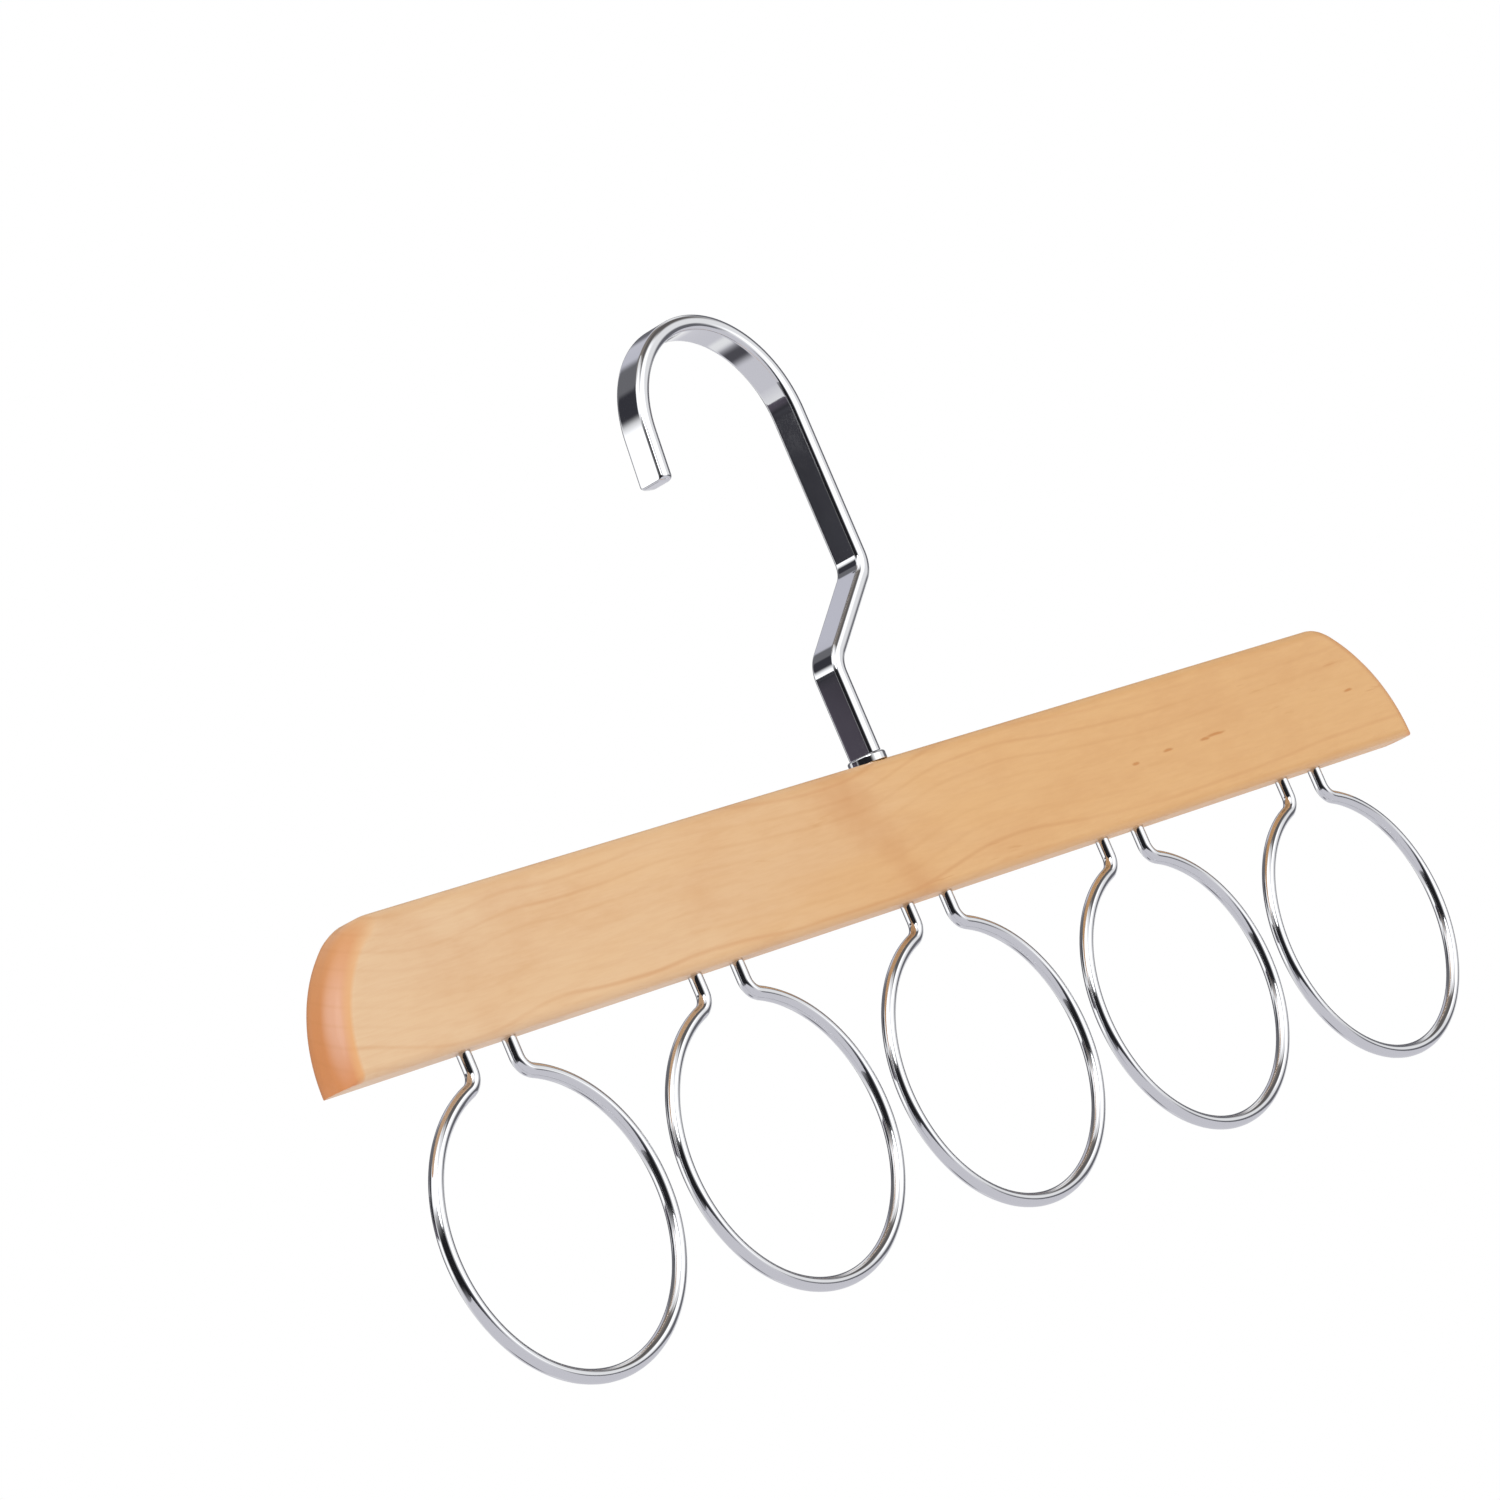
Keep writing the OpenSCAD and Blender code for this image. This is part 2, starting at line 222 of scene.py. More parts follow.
def makeWood(look):
    material, tree = newMaterial("maple_satin_lacquer")
    node = partial(addNode, tree)
    tones = {name: linearColour(value) for name, value in look.items() if isinstance(value, str)}
    place = node("TexCoord").outputs["Object"]  # metres
    x, y, z = node("SeparateXYZ", {0: place}).outputs
    noises = {}
    for name, (stretch, detail, roughness, shift) in look["noises"].items():
        scaled = node("Mapping", {"Vector": place, "Scale": stretch, "Location": (shift, 0, 0)})
        noises[name] = node("TexNoise", {"Vector": scaled, "Scale": 1.0, "Detail": detail,
                                         "Roughness": roughness})
    # Curls: soft darker bands across the grain, where the year lines dip
    height = node("Math", {0: z, 1: boardFoot / 1000}, operation="SUBTRACT")
    wobble = node("Math", {0: noises["wobble"], 1: 0.045, 2: -0.0225}, operation="MULTIPLY_ADD")
    curl, dip = 0.0, 0.0
    for centre, lean, reach, strength, depth in look["curls"]:
        shift = node("Math", {0: height, 1: lean, 2: -centre / 1000}, operation="MULTIPLY_ADD")
        off = node("Math", {0: x, 1: shift}, operation="ADD")
        wavy = node("Math", {0: off, 1: wobble}, operation="ADD")
        away = node("Math", {0: wavy}, operation="ABSOLUTE")
        band = node("MapRange", {"Value": away, 1: 0.0, 2: reach / 1000, 3: strength, 4: 0.0}, **soft)
        curl = node("Math", {0: curl, 1: band}, operation="ADD")
        away = node("Math", {0: off}, operation="ABSOLUTE")
        sag = node("MapRange", {"Value": away, 1: 0.0, 2: look["dipReach"] / 1000, 3: depth / 1000, 4: 0.0},
                   **soft)
        dip = node("Math", {0: dip, 1: sag}, operation="ADD")
    # Year lines: the distance from the log's centre in the YZ plane plus a slow wander, over the width
    # of a year. Each year has its own strength, and the grain runs straighter towards one end.
    flat = node("VectorMath", {0: place, 1: (0, 1, 1)}, operation="MULTIPLY")
    pith = (0, look["pithY"] / 1000, (boardFoot + look["pithZ"]) / 1000)
    radius = node("VectorMath", {0: flat, 1: pith}, operation="DISTANCE").outputs["Value"]
    calm = node("MapRange", {"Value": x, 1: 0.01, 2: 0.12}, **soft)
    steady = node("Math", {0: calm, 1: -0.6, 2: 1.0}, operation="MULTIPLY_ADD")
    stray = node("Math", {0: noises["wander"], 1: 0.5}, operation="SUBTRACT")
    stray = node("Math", {0: stray, 1: 4 * look["wander"] / 1000}, operation="MULTIPLY")
    stray = node("Math", {0: stray, 1: steady, 2: dip}, operation="MULTIPLY_ADD")
    years = node("Math", {0: radius, 1: stray}, operation="ADD")
    years = node("Math", {0: years, 1: 1000 / look["yearWidth"]}, operation="MULTIPLY")
    season = node("Math", {0: years}, operation="FRACT")
    season = node("Math", {0: season, 1: 0.5}, operation="PINGPONG")
    lateWood = node("MapRange", {"Value": season, 1: 0.33, 2: 0.5}, **soft)
    number = node("Math", {0: years}, operation="FLOOR")
    own = node("TexWhiteNoise", {"W": number}, noise_dimensions="1D").outputs[0]
    own = node("MapRange", {"Value": own, 1: 0.1, 2: 1.0, 3: 0.12 * look["lineStrength"],
                            4: look["lineStrength"]}, **soft)
    weaker = node("Math", {0: calm, 1: -0.45, 2: 1.0}, operation="MULTIPLY_ADD")
    fading = node("MapRange", {"Value": noises["lineFade"], 1: 0.34, 2: 0.62, 3: 0.3, 4: 1.0}, **soft)
    lineShare = lateWood
    for factor in (own, weaker, fading):
        lineShare = node("Math", {0: lineShare, 1: factor}, operation="MULTIPLY")
    # Tone: a broad mottle, and a slow change from pale at one end to golden at the other
    mottle = node("MapRange", {"Value": noises["mottle"], 1: 0.3, 2: 0.72, 3: 0.0, 4: 0.35}, **soft)
    tone = node("Math", {0: x, 1: 5.0, 2: 0.4}, operation="MULTIPLY_ADD")
    tone = node("Math", {0: tone, 1: mottle}, operation="ADD")
    toneShare = node("MapRange", {"Value": tone, 1: -0.45, 2: 0.95}, **soft)
    cloud = node("MapRange", {"Value": noises["cloud"], 1: 0.42, 2: 0.7, 3: 0.0, 4: 0.2}, **soft)
    grain = node("MapRange", {"Value": noises["curlGrain"], 1: 0.25, 2: 0.7, 3: 0.35, 4: 1.0}, **soft)
    curlShare = node("Math", {0: curl, 1: grain, 2: cloud}, operation="MULTIPLY_ADD")
    # Flecks: short dark rays and pores, stretched along the grain, and the streaks, which are small
    # ellipsoids just under the front face
    fleck = node("MapRange", {"Value": noises["fleck"], 1: 0.64, 2: 0.78}, **soft)
    where = node("MapRange", {"Value": noises["fleckPlace"], 1: 0.52, 2: 0.66, 3: 0.0,
                              4: look["fleckStrength"]}, **soft)
    fleck = node("Math", {0: fleck, 1: where}, operation="MULTIPLY")
    bent = node("Math", {0: noises["bend"], 1: 0.0009, 2: -0.00045}, operation="MULTIPLY_ADD")
    bent = node("Math", {0: height, 1: bent}, operation="ADD")
    bent = node("CombineXYZ", {0: x, 1: y, 2: bent})
    for along, rise, half in look["streaks"]:
        middle = (along / 1000, -0.006, rise / 1000)
        scale = (1000 / half, 1000 / look["streakDepth"], 1000 / look["streakHeight"])
        apart = node("VectorMath", {0: bent, 1: middle}, operation="SUBTRACT")
        apart = node("VectorMath", {0: apart, 1: scale}, operation="MULTIPLY")
        total = node("VectorMath", {0: apart, 1: apart}, operation="DOT_PRODUCT").outputs["Value"]
        streak = node("MapRange", {"Value": total, 1: 0.1, 2: 1.3, 3: look["streakStrength"], 4: 0.0}, **soft)
        fleck = node("Math", {0: fleck, 1: streak}, operation="MAXIMUM")
    # Fibres: thin streaks a centimetre long, drawn about twice as wide as the real ones
    fibres = node("MapRange", {"Value": noises["fibre"], 1: 0.35, 2: 0.7, 3: 0.0,
                               4: look["fibreStrength"]}, **soft)
    # End grain: the cut ends drink more lacquer; a paler tall ellipse on them, near the front rounding, is a
    # painted highlight
    aside = node("Math", {0: noises["highlightSpot"], 1: 0.003, 2: look["highlightShift"] / 1000 - 0.0015},
                 operation="MULTIPLY_ADD")
    aside = node("Math", {0: y, 1: aside}, operation="ADD")
    level = node("Math", {0: z, 1: 0.2, 2: -0.2 * (boardFoot + look["highlightHeight"]) / 1000},
                 operation="MULTIPLY_ADD")
    highlightSpot = node("CombineXYZ", {0: aside, 1: level})
    highlightSpot = node("VectorMath", {0: highlightSpot}, operation="LENGTH").outputs["Value"]
    highlightSpot = node("MapRange", {"Value": highlightSpot, 1: 0.0006, 2: 0.0034}, **soft)
    endLines = node("Math", {0: lateWood, 1: 0.12}, operation="MULTIPLY")
    endColour = tones["endHighlight"]
    for share, colour in ((highlightSpot, tones["endGrain"]), (endLines, tones["line"])):
        endColour = node("Mix", {0: share, 6: endColour, 7: colour}, data_type="RGBA").outputs[2]
    # The layers, from the ground up
    ends = node("Attribute", attribute_name="endGrain").outputs["Fac"]
    edges = node("Attribute", attribute_name="edgeTint").outputs["Fac"]
    ground = tones["pale"]
    for share, colour in ((toneShare, tones["deep"]), (curlShare, tones["curl"]), (lineShare, tones["line"]),
                          (fleck, tones["fleck"]), (fibres, tones["line"]), (edges, tones["edge"]),
                          (ends, endColour)):
        ground = node("Mix", {0: share, 6: ground, 7: colour}, data_type="RGBA").outputs[2]
    # Grain just felt under the lacquer
    depth = look["grainDepth"] / 1000
    bump = node("Bump", {"Height": noises["fine"], "Strength": 0.25, "Distance": depth})
    skin = node("Bump", {"Height": noises["skin"], "Strength": 0.3, "Distance": depth})
    rough = node("MapRange", {"Value": noises["fine"], 1: 0.3, 2: 0.7, 3: look["roughness"] - 0.05,
                              4: look["roughness"] + 0.06}, **soft)
    rough = node("Math", {0: ends, 1: look["endRoughness"] - look["roughness"], 2: rough},
                 operation="MULTIPLY_ADD")
    shader = node("BsdfPrincipled", {
        "Base Color": ground, "Roughness": rough, "IOR": 1.4, "Coat Weight": look["lacquer"],
        "Coat Roughness": look["lacquerRoughness"], "Coat IOR": 1.5, "Normal": bump, "Coat Normal": skin})
    node("OutputMaterial", {"Surface": shader})
    return material


# Metals. The haze is added to the roughness in smears. The ripple is the depth and rippleSize the
# width of the waves in the surface, and brushed is the depth of upright scratches, in mm.
metalLooks = {
    # Steel wire, polished and chrome plated: a mirror with a faint haze and the ripple of polishing
    "polished_chrome_plate": {
        "colour": "#DCDDE0", "roughness": 0.05, "haze": 0.05, "ripple": 0.004, "rippleSize": 9, "brushed": 0},
    # Flat steel strip, ground and polished before it was plated: clearer, with a deeper ripple
    "polished_chrome_strip": {
        "colour": "#DCDDE0", "roughness": 0.04, "haze": 0.05, "ripple": 0.008, "rippleSize": 9, "brushed": 0},
    # Steel electroplated with zinc and left as it is: bluish grey, dull, with fine tumbling marks
    "zinc_plated_steel": {
        "colour": "#B4B6BA", "roughness": 0.28, "haze": 0.12, "ripple": 0.01, "rippleSize": 2,
        "brushed": 0.01},
}


def makeMetal(name, look):
    material, tree = newMaterial(name)
    node = partial(addNode, tree)
    place = node("TexCoord").outputs["Object"]
    waves = node("TexNoise", {"Vector": place, "Scale": 1000 / look["rippleSize"], "Detail": 2.0})
    smears = node("TexNoise", {"Vector": place, "Scale": 180.0, "Detail": 4.0, "Roughness": 0.65})
    sheen = node("MapRange", {"Value": smears, 1: 0.35, 2: 0.75, 3: look["roughness"],
                              4: look["roughness"] + look["haze"]})
    bump = node("Bump", {"Height": waves, "Strength": 0.6, "Distance": look["ripple"] / 1000})
    if look["brushed"]:
        lines = node("Mapping", {"Vector": place, "Scale": (2500, 2500, 250)})
        scratch = node("TexNoise", {"Vector": lines, "Scale": 1.0, "Detail": 3.0})
        bump = node("Bump", {"Height": scratch, "Strength": 0.4, "Distance": look["brushed"] / 1000,
                             "Normal": bump})
    shader = node("BsdfPrincipled", {"Base Color": linearColour(look["colour"]), "Metallic": 1.0,
                                     "Roughness": sheen, "Normal": bump})
    node("OutputMaterial", {"Surface": shader})
    return material


maple = makeWood(woodLook)
chrome, stripChrome, zincSteel = (makeMetal(name, look) for name, look in metalLooks.items())
print("materials made")


# Board: an outline in the XZ plane, straight below, with two arcs at each end, and a rounded rim
board = {
    "length": 387, "height": 32.3, "thickness": 12, "endRadius": 36.2, "shoulderRadius": 16,
    "edgeRadius": 3, "endEdgeRadius": 4.8, "footRadius": 2, "ringPitch": 74, "legPitch": 14,
    "legHoleRadius": 1.65, "legHoleDepth": 13, "swivelHoleRadius": 2.9, "swivelHoleDepth": 17.3,
    "rimSpace": 0.3,  # width of the narrow strip beside each rounding, which keeps the flats flat
    # For the left and the right end: the share of the turn over which the rounding grows, and the tint
    "roundingTurns": (0.34, 0.85), "endTints": (0.8, 0.4),
}


def boardStations(sizes, columns):
    # Stations from one end of the outline over the top to the other end: a point, its outward
    # direction, and where its line down the face meets the foot
    half, height = sizes["length"] / 2, sizes["height"]
    endX, shoulderZ = half - sizes["endRadius"], height - sizes["shoulderRadius"]
    shoulderDx = math.sqrt((sizes["endRadius"] - sizes["shoulderRadius"]) ** 2 - shoulderZ ** 2)
    joint = math.atan2(shoulderZ, shoulderDx)  # angle at which the two arcs meet
    shoulderX = endX + shoulderDx
    # Close stations over the rounded foot, then even ones
    footShare = 1 - np.cos(np.radians(np.linspace(0, 90, 8)))
    low = np.arcsin(footShare * sizes["footRadius"] / sizes["endRadius"])
    big = np.concatenate([low, np.linspace(low[-1], joint, 38)[1:]])
    small = np.linspace(joint, math.pi / 2, 25)[1:]
    arcs = [(endX, 0, sizes["endRadius"], big), (shoulderX, shoulderZ, sizes["shoulderRadius"], small)]
    right = np.concatenate([np.stack([x + r * np.cos(a), z + r * np.sin(a), np.cos(a), np.sin(a)], 1)
                            for x, z, r, a in arcs])
    foot = np.linspace(half - sizes["endEdgeRadius"] - sizes["rimSpace"], shoulderX, len(right))
    right = np.column_stack([right, foot])
    left = (right * np.array([-1, 1, -1, 1, -1]))[:-1]
    inner = columns[np.abs(columns) < shoulderX - 1e-6]
    top = np.stack([inner, 0 * inner + height, 0 * inner, 0 * inner + 1, inner], 1)
    ends = right[-1] * np.array([-1, 1, -1, 1, -1])
    return np.concatenate([left, ends[None], top, right[::-1]])


def holePatch(centreX, half, spacing, radius, depth, level, direction):
    # A square patch of the face with a drilled hole: rings of points that go from the square's
    # sides to the circle, over a fine chamfer, down the wall and to the middle of its floor
    side, chamfer = 2 * half, 0.06
    walk = np.arange(side) - half
    edge = np.full(side, half)
    sides = [(walk, -edge), (edge, walk), (-walk, edge), (-edge, -walk)]
    square = spacing * np.concatenate([np.stack(pair, 1) for pair in sides])
    turn = np.radians(-135) + np.arange(4 * side) / (4 * side) * 2 * math.pi
    circle = np.stack([np.cos(turn), np.sin(turn)], 1)
    steps = [(radius + chamfer, 0), (radius, chamfer), (radius, 0.3), (radius, depth - 0.3),
             (radius, depth), (radius * 0.5, depth), (0, depth)]
    rows = [np.column_stack([square, np.full(len(square), level)])]
    rows += [np.column_stack([r * circle, np.full(len(circle), level + direction * d)]) for r, d in steps]
    points = np.stack(rows) + np.array([centreX, 0, 0])
    return gridPart(points, closed=True, marks={"endGrain": 0.0, "edgeTint": 0.0})


def makeBoard(sizes):
    half, topEdge = sizes["thickness"] / 2, sizes["edgeRadius"]
    legs = np.array([i * sizes["ringPitch"] + s * sizes["legPitch"] / 2
                     for i in range(-2, 3) for s in (-1, 1)])
    # Half the side of a hole's square patch is so many rows, of the board's own spacing across its flat top
    legHalf, swivelHalf = 3, 4
    spacing = (half - topEdge) / swivelHalf
    fine = [leg + spacing * np.arange(-legHalf, legHalf + 1) for leg in legs]
    fine.append(spacing * np.arange(-swivelHalf, swivelHalf + 1))
    columns = np.unique(np.round(np.concatenate(fine + [np.arange(-164, 165, 4)]), 6))
    gap = np.abs(columns[:, None] - np.concatenate(fine)).min(1)
    columns = columns[(gap < 1e-6) | (gap > 0.9)]
    stations = boardStations(sizes, columns)
    outline, normal, footX = stations[:, :2], stations[:, 2:4], stations[:, 4]
    # The edges are sanded rounder on their way down the ends, in one smooth change over the shoulders
    sideways = np.abs(normal[:, :1])
    onLeft = outline[:, :1] < 0
    turned = np.clip(sideways / np.where(onLeft, *sizes["roundingTurns"]), 0, 1)
    edge = topEdge + (sizes["endEdgeRadius"] - topEdge) * turned * turned * (3 - 2 * turned)
    # Across the rim: a quarter round, the flat in even rows, and a quarter round
    a = np.radians(np.linspace(0, 90, 9))
    rows = np.concatenate([1 - np.sin(a), np.zeros(2 * swivelHalf - 1), 1 - np.sin(a[::-1])])
    flat = (half - edge) * np.arange(-swivelHalf + 1, swivelHalf) / swivelHalf
    across = np.concatenate([-half + edge * (1 - np.cos(a)), flat, half - edge * (1 - np.cos(a[::-1]))], 1)
    rim = outline[:, None] - (edge * rows)[..., None] * normal[:, None]
    # Down each face: from the rim's inner line to the foot, with close rows over the rounded foot
    inner = outline - (edge + sizes["rimSpace"]) * normal
    reach = np.maximum(inner[:, 1], 1e-9)[:, None]
    footRows = np.concatenate([1 - np.cos(np.radians(np.linspace(0, 90, 9))), [1.15]]) * sizes["footRadius"]
    low = np.minimum(footRows, reach)
    rows = np.column_stack([low, low[:, -1:] + (reach - low[:, -1:]) * np.arange(1, 11) / 10])
    share = rows / reach
    faceX = footX[:, None] + (inner[:, :1] - footX[:, None]) * share
    face = np.stack([faceX, np.full(faceX.shape, -half), rows], -1)
    rimPoints = np.stack([rim[..., 0], across, rim[..., 1]], -1)
    whole = np.concatenate([face, rimPoints, face[:, ::-1] * np.array([1, -1, 1])], 1)
    # The rounded foot: every point below it is drawn in to the quarter round
    foot = sizes["footRadius"]
    depth = np.clip(foot - whole[..., 2], 0, foot)
    limit = half - foot + np.sqrt(foot ** 2 - depth ** 2)
    whole[..., 1] = np.clip(whole[..., 1], -limit, limit)
    # Marks: end grain where the rim faces along X, tint on the quarter rounds
    onFace, onFlat = np.zeros(face.shape[1]), np.ones(2 * swivelHalf - 1)
    rise = np.concatenate([onFace, np.sin(a), onFlat, np.sin(a[::-1]), onFace])
    cut = np.clip((rise - 0.22) / 0.4, 0, 1)
    endGrain = sideways * cut * cut * (3 - 2 * cut)
    bow = np.concatenate([onFace, np.sin(2 * a), 0 * onFlat, np.sin(2 * a[::-1]), onFace])
    fringe = np.clip((rise - 0.04) / 0.16, 0, 1)
    tint = np.where(onLeft, *sizes["endTints"])  # one end took more lacquer than the other
    marks = {"endGrain": endGrain, "edgeTint": 0.12 * bow * (1 - sideways) + tint * sideways * fringe}
    # The square patch round the swivel's hole is left out of the top
    cellX, cellY = midpoints(outline[:, 0])[:, None], midpoints(whole[len(whole) // 2, :, 1])[None]
    upright = midpoints(normal[:, 1])[:, None] > 0.999
    onTop = (np.abs(cellX) < swivelHalf * spacing) & (np.abs(cellY) < swivelHalf * spacing) & upright
    parts = [gridPart(whole, marks=marks, keep=~onTop)]
    # The foot's flat: the rim's rows run on below, from one end to the other
    ys = np.clip(across, -half + foot, half - foot)
    ends = [np.stack([rimPoints[i, :, 0], ys[i]], 1) for i in (0, -1)]
    footRows = np.stack(np.broadcast_arrays(footX[:, None], ys), -1)
    footPoints = np.concatenate([ends[0][None], footRows, ends[1][None]])
    footPoints = np.concatenate([footPoints, np.zeros(footPoints.shape[:2] + (1,))], -1)
    cellX, cellY = midpoints(footPoints[:, ys.shape[1] // 2, 0])[:, None], midpoints(ys[len(ys) // 2])[None]
    byLeg = (np.abs(cellX[..., None] - legs) < legHalf * spacing).any(-1)
    inHole = byLeg & (np.abs(cellY) < legHalf * spacing)
    parts.append(gridPart(footPoints, marks={"endGrain": 0.0, "edgeTint": 0.0}, keep=~inHole))
    parts += [holePatch(leg, legHalf, spacing, sizes["legHoleRadius"], sizes["legHoleDepth"], 0, 1)
              for leg in legs]
    parts.append(holePatch(0, swivelHalf, spacing, sizes["swivelHoleRadius"], sizes["swivelHoleDepth"],
                           sizes["height"], -1))
    place = np.array([middleX, 0, boardFoot])
    parts = [(points + place, faces, marks) for points, faces, marks in parts]
    makePiece("mapleBoard", parts, maple, "hanger", "crossbar")


makeBoard(board)


# Rings: round wire from one hole in the board, round an open circle, to the next hole
ring = {
    "wireRadius": 1.6, "circleRadius": 32.6, "legPitch": 14, "legShow": 4.2, "legInside": 12.5,
    "bendRadius": 4, "pitch": 74, "around": 28, "endChamfer": 0.35,
}


def makeRings(sizes):
    bendX = sizes["legPitch"] / 2 + sizes["bendRadius"]
    bend = math.degrees(math.acos(bendX / (sizes["circleRadius"] + sizes["bendRadius"])))
    around = 180 + 2 * bend
    straight = (sizes["legShow"] + sizes["legInside"], 0, 12)
    corner = (sizes["bendRadius"] * math.radians(bend), -bend, 14)
    circle = (sizes["circleRadius"] * math.radians(around), around, 200)
    points, angles, _ = tracePath((-sizes["legPitch"] / 2, sizes["legInside"]), -90,
                                  [straight, corner, circle, corner, straight])
    turn = np.arange(sizes["around"]) / sizes["around"] * 2 * math.pi
    wire = sizes["wireRadius"]
    tube = sweep(points, angles, wire * np.cos(turn)[None], wire * np.sin(turn)[None])
    caps = []
    for end in (0, -1):  # both legs end upwards: a chamfer, and the end's flat
        centre = np.array([points[end, 0], 0, points[end, 1]])
        loop = tube[end] - centre
        rows = [(1, -sizes["endChamfer"]), (1 - sizes["endChamfer"] / wire, 0), (0.4, 0), (0, 0)]
        cap = np.stack([centre + loop * r + np.array([0, 0, dz]) for r, dz in rows])
        caps.append(gridPart(cap, closed=True))
    tube[0] -= np.array([0, 0, sizes["endChamfer"]])
    tube[-1] -= np.array([0, 0, sizes["endChamfer"]])
    parts = [gridPart(tube, closed=True)] + caps
    for i in range(5):
        place = np.array([middleX + (i - 2) * sizes["pitch"], 0, boardFoot])
        moved = [(points + place, faces, marks) for points, faces, marks in parts]
        makePiece(f"wireRing{i + 1}", moved, chrome, "hanger", f"ring_{i + 1}")


makeRings(ring)


# Hook: one flat strip, bent into stub, jog, riser, arc and free end, with its lower end turned down
# to a round shank and a head formed under the washer
hook = {
    "width": 8, "thickness": 3.8, "edgeRadius": 1, "crownRadius": 3.4, "innerRadius": 23.6, "bendRadius": 7,
    "jogStep": 22.8, "jogRise": 19, "stubHeight": 24.5, "height": 109.4, "flare": 7,
    "tipLength": 12, "tipRadius": 1.2, "tipSoft": 0.5, "footGap": 2.2,
    "shankRadius": 1.6, "headRadius": 2.4, "headTop": -14.9, "headHeight": 1.4,
}


def stripSection(halfT, halfW, radius, crown):
    # A flat bar with rounded corners and crowned narrow sides: in each quarter a corner arc runs on
    # without a kink into an arc of the crown's radius about a point of the middle line. Beside the
    # corner arc there is one point on the wide face. The sizes are columns, one row for each place
    # along the strip.
    share = np.linspace(0, 1, 8)
    cx = halfT - radius
    meet = np.arccos(cx / (crown - radius))  # angle at which the corner arc ends and the crown begins
    cy = halfW - crown + (crown - radius) * np.sin(meet)
    corner = meet * share
    side = meet + (math.pi / 2 - meet) * share[1:]
    x = np.concatenate([halfT + 0 * cy, cx + radius * np.cos(corner), crown * np.cos(side)], 1)
    y = np.concatenate([cy * 0.9, cy + radius * np.sin(corner), halfW - crown + crown * np.sin(side)], 1)
    # The four quarters, each without the point that it shares with the one before
    across = np.concatenate([x, -x[:, -2::-1], -x, x[:, -2::-1]], 1)
    along = np.concatenate([y, y[:, -2::-1], -y, -y[:, -2::-1]], 1)
    return across, along


def makeHook(sizes):
    middle = sizes["innerRadius"] + sizes["thickness"] / 2
    jog = math.degrees(math.atan2(sizes["jogStep"], sizes["jogRise"]))
    reach = sizes["bendRadius"] * math.tan(math.radians(jog) / 2)
    corner = sizes["bendRadius"] * math.radians(jog)
    top = sizes["innerRadius"] + sizes["thickness"] - sizes["height"]  # the board's top edge
    footZ, lowerZ = top + sizes["footGap"], top + sizes["stubHeight"]
    upperZ = lowerZ + sizes["jogRise"]
    soft, tip = sizes["tipSoft"], sizes["tipLength"]
    points, angles, runs = tracePath((middle - sizes["jogStep"], footZ), 90, [
        (lowerZ - reach - footZ, 0, 10), (corner, -jog, 18),
        (math.hypot(sizes["jogStep"], sizes["jogRise"]) - 2 * reach, 0, 6), (corner, jog, 18),
        (-upperZ - reach, 0, 8), (middle * math.radians(180 - sizes["flare"]), 180 - sizes["flare"], 90),
        (tip - sizes["tipRadius"], 0, 5), (sizes["tipRadius"] - soft, 0, 10), (soft, 0, 8)])
    left = (runs[-1] - runs)[:, None]  # length left to the free end
    rounding = np.clip(sizes["tipRadius"] - left, 0, None)
    softening = soft - np.sqrt(soft ** 2 - np.clip(soft - left, 0, None) ** 2)
    tipRadius = sizes["tipRadius"]
    halfW = sizes["width"] / 2 - tipRadius + np.sqrt(tipRadius ** 2 - rounding ** 2) - softening
    halfT = sizes["thickness"] / 2 - softening
    radius = np.minimum(sizes["edgeRadius"], np.minimum(halfW, halfT) - 0.05)
    across, along = stripSection(halfT, halfW, radius, sizes["crownRadius"] + 0 * radius)
    strip = sweep(points, angles, across, along)
    # Free end's flat, closed towards its middle
    tipMiddle = np.array([points[-1, 0], 0, points[-1, 1]])
    cap = np.stack([tipMiddle + (strip[-1] - tipMiddle) * r for r in (1, 0.8, 0.4, 0)])
    # Foot: the strip's flat lower end, the shank, the head's shoulder and its dome, as one fan of rings
    footMiddle = np.array([points[0, 0], 0, footZ])
    ray = strip[0] - footMiddle
    circle = ray / np.linalg.norm(ray[:, :2], axis=1)[:, None]
    headZ, headR, headH = sizes["headTop"], sizes["headRadius"], sizes["headHeight"]
    domeR = (headR ** 2 + headH ** 2) / (2 * headH)
    dome = np.linspace(math.asin(headR / domeR), 0, 10)
    steps = [(sizes["shankRadius"] + 0.02, 0), (sizes["shankRadius"], -0.1), (sizes["shankRadius"], -9),
             (sizes["shankRadius"], top + headZ - footZ), (headR - 0.2, top + headZ - footZ),
             (headR, top + headZ - footZ - 0.15)]
    crownZ = top + headZ - headH - footZ
    steps += [(domeR * math.sin(b), crownZ + domeR * (1 - math.cos(b))) for b in dome[1:]]
    shank = np.stack([strip[0]] + [footMiddle + circle * r + np.array([0, 0, dz]) for r, dz in steps])
    parts = [gridPart(strip, closed=True), gridPart(cap, closed=True), gridPart(shank, closed=True)]
    makePiece("swivelHook", parts, stripChrome, "hook", "swivel_hook")


makeHook(hook)


# Swivel: a flanged insert in the board, and the washer that the shank's head bears on
swivel = {
    "flangeRadius": 4.5, "flangeHeight": 2, "flangeEdge": 0.5, "barrelRadius": 2.85, "barrelLength": 14,
    "boreRadius": 1.65, "washerRadius": 2.6, "washerTop": -14.1, "washerHeight": 0.8, "around": 72,
}


